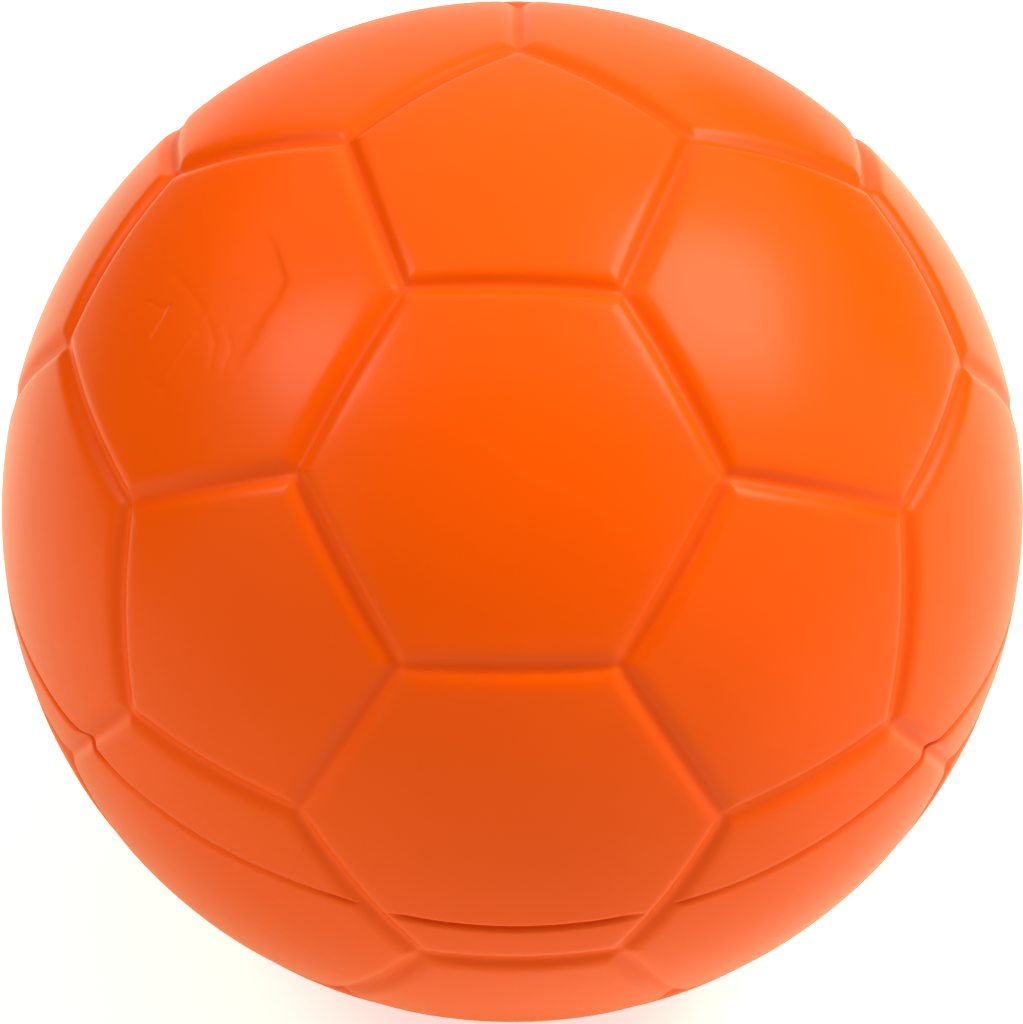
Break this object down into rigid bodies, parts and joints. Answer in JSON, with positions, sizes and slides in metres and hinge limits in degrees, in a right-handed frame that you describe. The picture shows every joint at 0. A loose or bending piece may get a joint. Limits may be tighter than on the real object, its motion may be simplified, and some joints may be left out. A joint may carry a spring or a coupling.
{
  "type": "soft foam handball",
  "caption": "Soft moulded-foam handball: a light foam core in a dense coloured skin with pentagon and hexagon panels in relief, for throwing, catching and bouncing play.",
  "frame": {"origin": "the middle of the ball", "axes": "+Z is the direction in which the mould opens, through the middles of two opposite pentagons; -Y faces the middle of the seam-framed hexagon that the picture looks at, between two pentagons of the upper ring; +X is to its right"},
  "size_m": [0.1598, 0.16, 0.16],
  "materials": {
    "skin": "smooth semi-matte moulded polyurethane skin",
    "foam": "fine-celled soft polyurethane foam"
  },
  "bodies": {
    "root": {"foam_core": "foam", "upper_skin": "skin", "lower_skin": "skin"}
  },
  "joints": []
}
